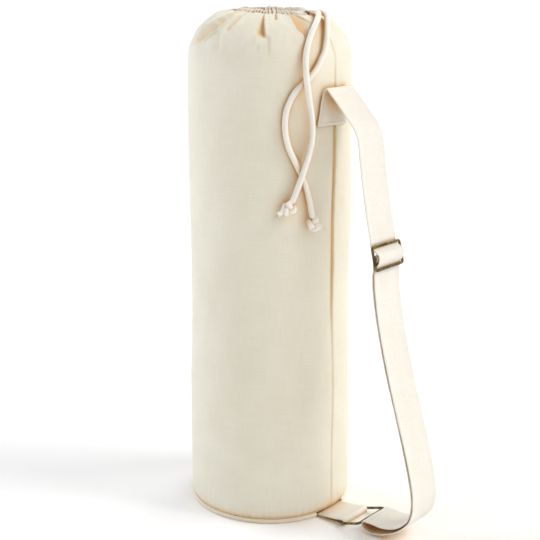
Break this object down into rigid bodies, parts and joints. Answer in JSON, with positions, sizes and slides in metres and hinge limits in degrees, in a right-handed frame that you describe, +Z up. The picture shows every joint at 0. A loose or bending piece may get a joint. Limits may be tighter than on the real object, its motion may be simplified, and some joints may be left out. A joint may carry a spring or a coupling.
{
  "type": "drawstring yoga mat bag",
  "caption": "Upright canvas tube bag for a rolled mat, gathered shut on a drawcord, with a webbing shoulder strap, slider and ring on one side.",
  "frame": {"origin": "centre of the round base on the surface it stands on", "axes": "+Z up along the bag; +X from the bag's axis towards the vertical seam, the shoulder strap and the drawcord's exit"},
  "size_m": [0.3397, 0.2028, 0.6206],
  "materials": {
    "canvas": "unbleached cotton canvas, plain weave, matte",
    "webbing": "ribbed cotton webbing, matte",
    "cord": "braided cotton cord, matte",
    "hardware": "antique brass, dark, satin"
  },
  "bodies": {
    "root": {"bag_body": "canvas", "drawstring_hem": "canvas", "base_panel": "canvas", "base_piping": "canvas", "shoulder_strap": "webbing", "base_tab": "webbing", "strap_slider": "hardware", "strap_ring": "hardware", "drawcord_in_hem": "cord", "drawcord_over": "cord", "drawcord_under": "cord", "cord_knot_over": "cord", "cord_knot_under": "cord"}
  },
  "joints": []
}
